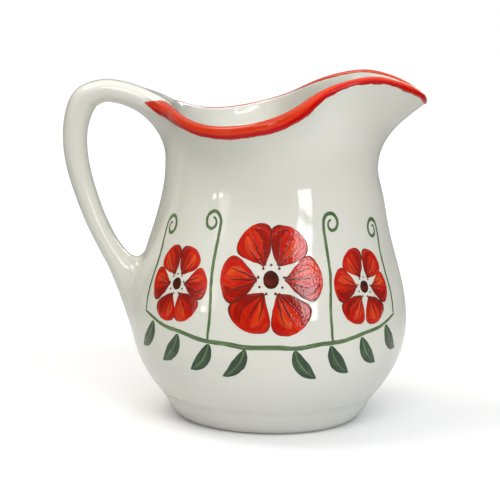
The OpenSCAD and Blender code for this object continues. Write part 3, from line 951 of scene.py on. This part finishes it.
# The columns as one closed skin: its top, its underside in the wall, its long edges and its ends
def bandSkin(columns):
    width = len(columns[0])
    middle = width // 2
    points, faces, alongs, acrosses = [], [], [], []
    length = 0.0
    for number, column in enumerate(columns):
        if number:
            length += (column[middle][0] - columns[number - 1][middle][0]).length
        bead = beadHeight(column, length)
        sides = [2 * lane / (width - 1) - 1 for lane in range(width)]
        points += [point + out * paintHeight(side, bead) for (point, out), side in zip(column, sides)]
        points += [point + out * (band["lift"] - band["thick"]) for point, out in column]
        alongs += [length] * 2 * width
        acrosses += sides * 2
    for k in range(len(columns) - 1):
        top = 2 * width * k
        under = top + width
        nextTop = top + 2 * width
        nextUnder = under + 2 * width
        for lane in range(width - 1):
            faces.append((top + lane, nextTop + lane, nextTop + lane + 1, top + lane + 1))
            faces.append((under + lane + 1, nextUnder + lane + 1, nextUnder + lane, under + lane))
        last = width - 1
        faces.append((top, under, nextUnder, nextTop))
        faces.append((top + last, nextTop + last, nextUnder + last, under + last))
    end = 2 * width * (len(columns) - 1)
    for lane in range(width - 1):
        faces.append((lane, lane + 1, width + lane + 1, width + lane))
        faces.append((end + lane + 1, end + lane, end + width + lane, end + width + lane + 1))
    attributes = {"along": alongs, "across": acrosses, "stroke": [0.0] * len(points)}
    return meshPiece("rimBand", points, faces, bandPaint, attributes)


def surfaceOf(pieces):
    points = []
    faces = []
    for piece in pieces:
        first = len(points)
        points += [v.co / mm for v in piece.data.vertices]
        faces += [[first + v for v in face.vertices] for face in piece.data.polygons]
    return BVHTree.FromPolygons(points, faces)


# The crest's columns in even steps of the turn, crowded towards the spout's tip, then the near end
# and its mirror image
def makeBand():
    columns = []
    length = 0.0
    last = None
    for k in range(band["columns"] + 1):
        turn = mix(-band["endTurn"], band["endTurn"], k / band["columns"])
        turn -= band["crowding"] * math.sin(math.radians(turn))
        crest = rimSkin(turn, 0)[0]
        length += (crest - last).length if last else 0
        last = crest
        columns.append(bandColumn(turn, length))
    surface = surfaceOf([body, loopHandle])
    eye = Vector(camera["place"])
    shared = band["shared"]
    end = columns[:shared][::-1] + bandEnd(surface, eye, columns[0])
    end = evened(end, surface, eye)[shared:]
    flip = Vector((1, -1, 1))
    mirrored = [[(point * flip, normal * flip) for point, normal in column] for column in end]
    return bandSkin(end[::-1] + columns + mirrored)


rimBand = makeBand()
settle(rimBand, "band_paint", "rim_band")
print("band", len(rimBand.data.polygons))


# Garland: each brush stroke is a flat curve, x the distance round the belly and y the height, with
# its half width as radius. One tree turns the curves into paint that lies on the wall. A brush is
# its width's share at the stroke's start and end, where it is fullest, and how blunt its ends are.
garland = {
    "z": 64, "half": 62, "bigR": 23, "smallR": 16, "eyeD": 6.8, "bigLift": 0.10, "smallDrop": 0.14,
    "smallPlace": 0.70, "smallTilt": 8, "sag": (1.04, 0.36), "sides": 20, "steps": 30,
    "thick": 0.10, "wobble": 0.35, "wobbleNoise": (0.28, 2, 0.5), "strokeStep": 5, "layerStep": 0.0006,
}
stem = {"width": 1.9, "steps": 80, "sway": 0.25, "swayStep": 0.5, "brush": (0.35, 0.35, 0.5, 0.5)}
# Shares of the flower's radius, of the petal's length and of its width, stop by stop
petal = {
    "count": 6, "width": 0.80, "start": 0.11, "turnSpread": 2.5, "longs": (0.95, 1.0),
    "wides": (0.94, 1.02), "bow": 0.03, "brush": (0.05, 0.12, 0.66, 0.62),
    "shade": (0.02, 0, 0.62, 0.52, 0.93, 0.12, 0.20), "shadeBrush": (0.1, 0.1, 0.55, 0.8),
    "light": (0.16, -0.02, 0.60, -0.26, 0.88, -0.12, 0.24), "lightBrush": (0.1, 0.1, 0.6, 0.8),
    "veins": (-0.30, 0.02, 0.33), "veinReach": (0.86, 0.80), "veinLongs": (0.90, 1.02),
    "veinShorter": 3, "veinFan": (0.06, 0.46, 0.74), "veinWidth": 0.034, "veinBrush": (0.5, 0.15, 0.3, 0.6),
    "edgeAside": 0.49, "edgeFull": 1.66, "edgeBlunt": 0.62, "edgeSteps": 24, "edgeWidth": 0.030,
    "edgeBrush": (0.4, 0.2, 0.6, 0.6),
}
heart = {"steps": 24, "dots": 9, "ring": 1.62, "dotHalf": 0.024, "dotWidth": 0.046,
         "dotStops": (-1, -0.6, 0, 0.6, 1), "dotBrush": (0.3, 0.3, 0.5, 0.5), "flat": 0.0004}
# Tendrils: their places along the stem, heights and ways, then their curl and their sway
tendrils = {
    "stations": ((0.41, 1.95, 1), (0.99, 1.48, -1)), "root": 0.4, "width": 1.3, "swell": 1.15,
    "brush": (0.35, 0.6, 0.35, 0.5), "curlR": 4.6, "curlTurn": 450, "curlCore": 0.3,
    "curlSteps": 46, "steps": 30, "sway": 1.1, "swayTurns": 1.6,
}
leaf = {
    "places": (-0.88, -0.64, -0.40, -0.16, 0.16, 0.40, 0.64, 0.88), "root": 0.6, "long": 15, "width": 5.6,
    "pull": (0.08, -0.50), "tip": (0.62, -0.78), "longs": (0.94, 1.04), "wides": (0.95, 1.08),
    "brush": (0.16, 0.04, 0.46, 0.85),
    "ribSteps": (3, 25), "ribWidth": 0.13, "ribBrush": (0.4, 0.1, 0.3, 0.6),
}
random.seed(7)


def stemPlace(s):
    high, low = garland["sag"]
    return Vector((garland["half"] * s, garland["z"] - garland["bigR"] * (high - low * s * s)))


# Shares from 0 to 1 in even steps of a half turn, closer together at both ends
def eased(steps):
    return [(1 - math.cos(math.pi * k / steps)) / 2 for k in range(steps + 1)]


def bend(a, b, c):
    return [(1 - s) * (1 - s) * a + 2 * s * (1 - s) * b + s * s * c for s in eased(garland["steps"])]


def ray(turn):
    return Vector((math.sin(math.radians(turn)), math.cos(math.radians(turn))))


# The path's points with half widths
def brushed(path, width, start, end, full, blunt):
    lengths = [0.0]
    for a, b in zip(path, path[1:]):
        lengths.append(lengths[-1] + (b - a).length)
    power = math.log(0.5) / math.log(full)
    rows = []
    for point, length in zip(path, lengths):
        s = length / lengths[-1]
        swell = max(math.sin(math.pi * s ** power), 0) ** blunt
        rows.append((point, width / 2 * mix(mix(start, end, s), 1, swell)))
    return rows


# The flowers' middles, radii and tilts
def flowerPlaces():
    aside = garland["half"] * garland["smallPlace"]
    low = garland["z"] - garland["smallR"] * garland["smallDrop"]
    high = garland["z"] + garland["bigR"] * garland["bigLift"]
    r, tilt = garland["smallR"], garland["smallTilt"]
    return [(Vector((0, high)), garland["bigR"], 0),
            (Vector((-aside, low)), r, -tilt), (Vector((aside, low)), r, tilt)]


def eyeRadius(r):
    return garland["eyeD"] / 2 * r / garland["bigR"]


# Points given by how far they lie out from the flower's middle, along the petal, and aside of it
def petalPath(middle, turn, stops):
    return [middle + ray(turn) * out + ray(turn + 90) * aside for out, aside in stops]


def petalStrokes():
    base, shade, veins, light = [], [], [], []
    for middle, r, tilt in flowerPlaces():
        start = eyeRadius(r) + r * petal["start"]
        for k in range(petal["count"]):
            spread = petal["turnSpread"]
            turn = 360 * (k + 0.5) / petal["count"] + tilt + random.uniform(-spread, spread)
            long = r * random.uniform(*petal["longs"])
            width = r * petal["width"] * random.uniform(*petal["wides"])
            side = 1 if k % 2 else -1

            path = petalPath(middle, turn, [(start, 0), (r / 2, r * petal["bow"]), (long, 0)])
            base.append(brushed(bend(*path), width, *petal["brush"]))

            for strokes, part in ((shade, "shade"), (light, "light")):
                first, firstAside, out, aside, tip, tipAside, wide = petal[part]
                path = petalPath(middle, turn, [(start + r * first, side * r * firstAside),
                                                (r * out, side * width * aside),
                                                (long * tip, side * width * tipAside)])
                strokes.append(brushed(bend(*path), width * wide, *petal[part + "Brush"]))

            for vein in petal["veins"]:
                reach = long * mix(*petal["veinReach"], abs(vein) * petal["veinShorter"])
                reach *= random.uniform(*petal["veinLongs"])
                near, half, far = [vein * fan for fan in petal["veinFan"]]
                stops = [(start, near * r), (r / 2, half * width), (reach, far * width)]
                path = petalPath(middle, turn, stops)
                veins.append(brushed(bend(*path), r * petal["veinWidth"], *petal["veinBrush"]))

            stops = []
            for s in [k / petal["edgeSteps"] for k in range(2, petal["edgeSteps"] - 1)]:
                full = math.sin(math.pi * s ** petal["edgeFull"]) ** petal["edgeBlunt"]
                stops.append((mix(start, long, s), side * width * petal["edgeAside"] * full))
            path = petalPath(middle, turn, stops)
            veins.append(brushed(path, r * petal["edgeWidth"], *petal["edgeBrush"]))
    return base, shade, veins, light


def eyeStrokes():
    discs, rings = [], []
    for middle, r, tilt in flowerPlaces():
        reach = eyeRadius(r)
        disc = []
        for x in [2 * s - 1 for s in eased(heart["steps"])]:
            disc.append((middle + Vector((reach * x, 0)), reach * math.sqrt(max(1 - x * x, heart["flat"]))))
        discs.append(disc)
        for k in range(heart["dots"]):
            spot = middle + ray(360 / heart["dots"] * k + tilt) * reach * heart["ring"]
            path = [spot + Vector((x, 0)) * r * heart["dotHalf"] for x in heart["dotStops"]]
            rings.append(brushed(path, r * heart["dotWidth"], *heart["dotBrush"]))
    return discs, rings


def tendril(start, height, side):
    r = tendrils["curlR"]
    top = start + Vector((0, height))
    middle = top + Vector((side * r, 0))
    path = []
    for s in [k / tendrils["curlSteps"] for k in range(tendrils["curlSteps"])]:
        turn = math.radians(tendrils["curlTurn"] * (1 - s))
        reach = r * mix(tendrils["curlCore"], 1, s)
        path.append(middle + reach * Vector((-side * math.cos(turn), math.sin(turn))))
    for s in [k / tendrils["steps"] for k in range(tendrils["steps"] + 1)]:
        sway = tendrils["sway"] * math.sin(math.pi * s * tendrils["swayTurns"]) * math.sin(math.pi * s)
        path.append(top.lerp(start, s) + Vector((side * sway, 0)))
    return path


def stemStrokes():
    path = []
    for k in range(stem["steps"] + 1):
        sway = stem["sway"] * math.sin(k * stem["swayStep"])
        path.append(stemPlace(2 * k / stem["steps"] - 1) + Vector((0, sway)))
    strokes = [brushed(path, stem["width"], *stem["brush"])]
    for side in (-1, 1):
        for place, height, way in tendrils["stations"]:
            start = stemPlace(side * place) + Vector((0, stem["width"] * tendrils["root"]))
            path = tendril(start, garland["bigR"] * height, side * way)
            strokes.append(brushed(path, tendrils["width"] * tendrils["swell"], *tendrils["brush"]))
    return strokes


def leafStrokes():
    base, ribs = [], []
    for place in leaf["places"]:
        side = Vector((math.copysign(1, place), 1))
        start = stemPlace(place) - Vector((0, stem["width"] * leaf["root"]))
        pull = start + leaf["long"] * side * Vector(leaf["pull"])
        tip = start + leaf["long"] * side * Vector(leaf["tip"]) * random.uniform(*leaf["longs"])
        path = bend(start, pull, tip)
        base.append(brushed(path, leaf["width"] * random.uniform(*leaf["wides"]), *leaf["brush"]))
        path = path[slice(*leaf["ribSteps"])]
        ribs.append(brushed(path, leaf["width"] * leaf["ribWidth"], *leaf["ribBrush"]))
    return base, ribs


def storeField(tree, geometry, name, value):
    inputs = {"Geometry": geometry, "Name": name, "Value": value}
    return made(tree, "GeometryNodeStoreNamedAttribute", inputs, data_type="FLOAT", domain="POINT")


def namedField(tree, name):
    return made(tree, "GeometryNodeInputNamedAttribute", {"Name": name}, data_type="FLOAT")


def layPaint(name, strokes, material, lift):
    tree, given = newTree("laidPaint", {"Sides": garland["sides"], "Lift": lift,
                                        "Layer Step": garland["layerStep"],
                                        "Thickness": garland["thick"], "Wobble": garland["wobble"]})
    length = made(tree, "GeometryNodeSplineParameter", output="Length")
    owner = made(tree, "GeometryNodeCurveOfPoint", output="Curve Index")
    lines = storeField(tree, given["Geometry"], "along", length)
    lines = storeField(tree, lines, "stroke", owner)
    circle = made(tree, "GeometryNodeCurvePrimitiveCircle", {"Resolution": given["Sides"], "Radius": 1.0})
    place = made(tree, "GeometryNodeInputPosition")
    x, y = xyz(tree, place)[:2]
    section = storeField(tree, circle, "across", x)
    section = storeField(tree, section, "rising", y)
    inputs = {"Curve": lines, "Profile Curve": placed(tree, section, joined(tree, x, 0, 0)),
              "Scale": made(tree, "GeometryNodeInputRadius"), "Fill Caps": True}
    swept = made(tree, "GeometryNodeCurveToMesh", inputs)

    # The hand's wobble is another one for each stroke
    number = namedField(tree, "stroke")
    handPlace = joined(tree, x, y, number * garland["strokeStep"])
    hand = noise(tree, handPlace, *garland["wobbleNoise"], "Color")
    drift = scaled(tree, vectorMath(tree, "SUBTRACT", hand, (0.5, 0.5, 0.5)), given["Wobble"] * 2)
    flatX, height = xyz(tree, vectorMath(tree, "ADD", place, drift))[:2]

    # The flat drawing goes round the belly
    turn = flatX / pot["bellyR"] - math.pi / 2
    degrees = turn.math("ABSOLUTE") * (180 / math.pi)
    level = share(height, pot["creaseZ"], pot["bellyZ"]) + share(height, pot["bellyZ"], pot["neckZ"]) + 2
    radius = wallAt(degrees, level)[0] + given["Lift"] + number * given["Layer Step"]
    radius = radius + namedField(tree, "rising") * given["Thickness"] * 0.5
    spot = joined(tree, radius * cosine(turn), radius * sine(turn), height)
    laid = placed(tree, swept, scaled(tree, spot, mm))
    # The drawing's plane is seen from behind, so the faces are turned round
    closeTree(tree, made(tree, "GeometryNodeFlipFaces", {"Mesh": laid}), material)
    piece = bakeTree(name, curveOf(name, strokes), tree, material)
    print(name, len(piece.data.polygons))
    return piece


petalBase, petalShade, petalVeins, petalLight = petalStrokes()
eyeDiscs, eyeRings = eyeStrokes()
leafBase, leafRibs = leafStrokes()
# Each painted piece: its strokes, paint, lift, slot and the nodes that it replaces
paintedPieces = [
    ("stemStrokes", stemStrokes(), paint["stem"], 0.02, "stem_paint", ["painted_stems"]),
    ("leafStrokes", leafBase, paint["leaf"], 0.03, "leaf_paint", ["painted_leaves"]),
    ("leafRibs", leafRibs, paint["stem"], 0.09, "leaf_paint", []),
    ("petalStrokes", petalBase, paint["petal"], 0.03, "petal_paint", ["painted_petals"]),
    ("petalLights", petalLight, paint["petalLight"], 0.07, "petal_paint", []),
    ("petalShades", petalShade, paint["petalShade"], 0.08, "petal_paint", []),
    ("petalVeins", petalVeins, paint["vein"], 0.10, "petal_paint", []),
    ("eyeDots", eyeDiscs, paint["centre"], 0.04, "centre_paint", ["painted_centres"]),
    ("eyeRings", eyeRings, paint["vein"], 0.11, "centre_paint", []),
]
for name, strokes, material, lift, slot, nodes in paintedPieces:
    piece = layPaint(name, strokes, material, lift)
    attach(piece, "root")
    if nodes:
        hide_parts(*nodes)


# Camera and light
def makeCamera():
    data = bpy.data.cameras.new("view")
    data.lens = camera["lens"]
    data.sensor_width = camera["sensor"]
    view = linked("view", data)
    view.location = Vector(camera["place"]) * mm
    view.rotation_euler = cameraTurn().to_euler()
    bpy.context.scene.camera = view


makeCamera()

# The room's light: brightness near the horizon and overhead, the share left on the side of the
# photographer, the tints of the two sides, and the directions' shares between which these change.
# The floor: how far it reaches aside, forward and back in millimetres, and its tones and glow near
# the pitcher and far from it, in metres.
room = {
    "low": 0.05, "high": 1.16, "overhead": (0.12, 0.95), "front": 0.4, "frontShares": (-0.9, 0.2),
    "left": (1, 0.975, 0.90), "right": (0.96, 0.98, 1), "sideShares": (-0.9, 0.9),
    "floor": (9000, 3000, 15000), "floorTones": (0.74, 0.3), "floorGlow": (0.14, 0.82),
    "floorFade": (0.09, 0.4), "floorRoughness": 0.9, "floorSpecular": 0.1,
}
# Windows and lamps, as directions from the pitcher: degrees to the right of the camera's side and
# up, then width and height in degrees, and brightness. Their distance in metres, where they aim,
# and the watts of a square metre at a brightness of 1 come after the table.
windows = {
    "rightPaneLow": (32.3, 9.2, 14, 8, 7), "rightPaneHigh": (32.3, 20.4, 14, 11.2, 7),
    "leftPane": (-50.5, 13, 12, 13, 1.8), "leftSquareA": (-61.3, 7, 3.6, 1.8, 9),
    "leftSquareB": (-54.4, 7, 3.6, 1.8, 9), "ceilingStrip": (26, 55, 30, 4, 7),
    "ceilingSpot": (49, 50, 4, 3, 9), "ceiling": (4, 44, 40, 18, 4.1),
    "backPane": (158, 20, 13, 22, 3), "skylight": (-90, 63, 24, 20, 6),
}
windowReach = 1.3
windowAim = Vector((0, 0, 0.085))
windowWatts = 4


def windowSize(degrees):
    return 2 * windowReach * math.tan(math.radians(degrees / 2))


def addWindow(name, aside, up, width, height, strength):
    around = ray(180 - aside)
    climb = math.radians(up)
    direction = Vector((around.x * math.cos(climb), around.y * math.cos(climb), math.sin(climb)))
    data = bpy.data.lights.new(name, "AREA")
    data.shape = "RECTANGLE"
    data.size = windowSize(width)
    data.size_y = windowSize(height)
    data.energy = strength * windowWatts * data.size * data.size_y
    data.color = room["left"] if aside < 0 else room["right"]
    lamp = linked(name, data)
    lamp.location = windowAim + direction * windowReach
    lamp.rotation_euler = (-direction).to_track_quat("-Z", "Y").to_euler()
    lamp.visible_camera = False


for name, window in windows.items():
    addWindow(name, *window)


def cameraSees(tree):
    return made(tree, "ShaderNodeLightPath", output="Is Camera Ray")


# The camera sees white behind the pitcher, and the glaze reflects the room
def makeSurroundings():
    world = bpy.data.worlds.new("studio")
    bpy.context.scene.world = world
    world.use_nodes = True
    tree = world.node_tree
    x, y, z = xyz(tree, made(tree, "ShaderNodeTexCoord", output="Generated"))
    level = mix(room["low"], room["high"], smooth(tree, z, *room["overhead"]))
    level = level * mix(room["front"], 1, smooth(tree, y, *room["frontShares"]))
    tint = mixColour(tree, smooth(tree, x, *room["sideShares"]), (*room["left"], 1), (*room["right"], 1))
    seen = mixColour(tree, cameraSees(tree), scaled(tree, tint, level), (1, 1, 1, 1))
    plug(tree, seen, tree.nodes["Background"].inputs["Color"])
    aside, front, back = room["floor"]
    edges = ((-aside, -front), (aside, -front), (aside, back), (-aside, back))
    corners = [Vector(edge).to_3d() for edge in edges]
    meshPiece("floor", corners, [(0, 1, 2, 3)], makeFloor())


def makeFloor():
    material, tree, shader = newMaterial("paleFloor")
    shader.inputs["Roughness"].default_value = room["floorRoughness"]
    shader.inputs["Specular IOR Level"].default_value = room["floorSpecular"]
    shader.inputs["Emission Color"].default_value = (1, 1, 1, 1)
    far = smooth(tree, vectorMath(tree, "LENGTH", objectPlace(tree)), *room["floorFade"])
    tones = [(tone, tone, tone, 1) for tone in room["floorTones"]]
    plug(tree, mixColour(tree, far, *tones), shader.inputs["Base Color"])
    plug(tree, cameraSees(tree) * mix(*room["floorGlow"], far), shader.inputs["Emission Strength"])
    return material


makeSurroundings()
scene = bpy.context.scene
scene.view_settings.view_transform = "Standard"
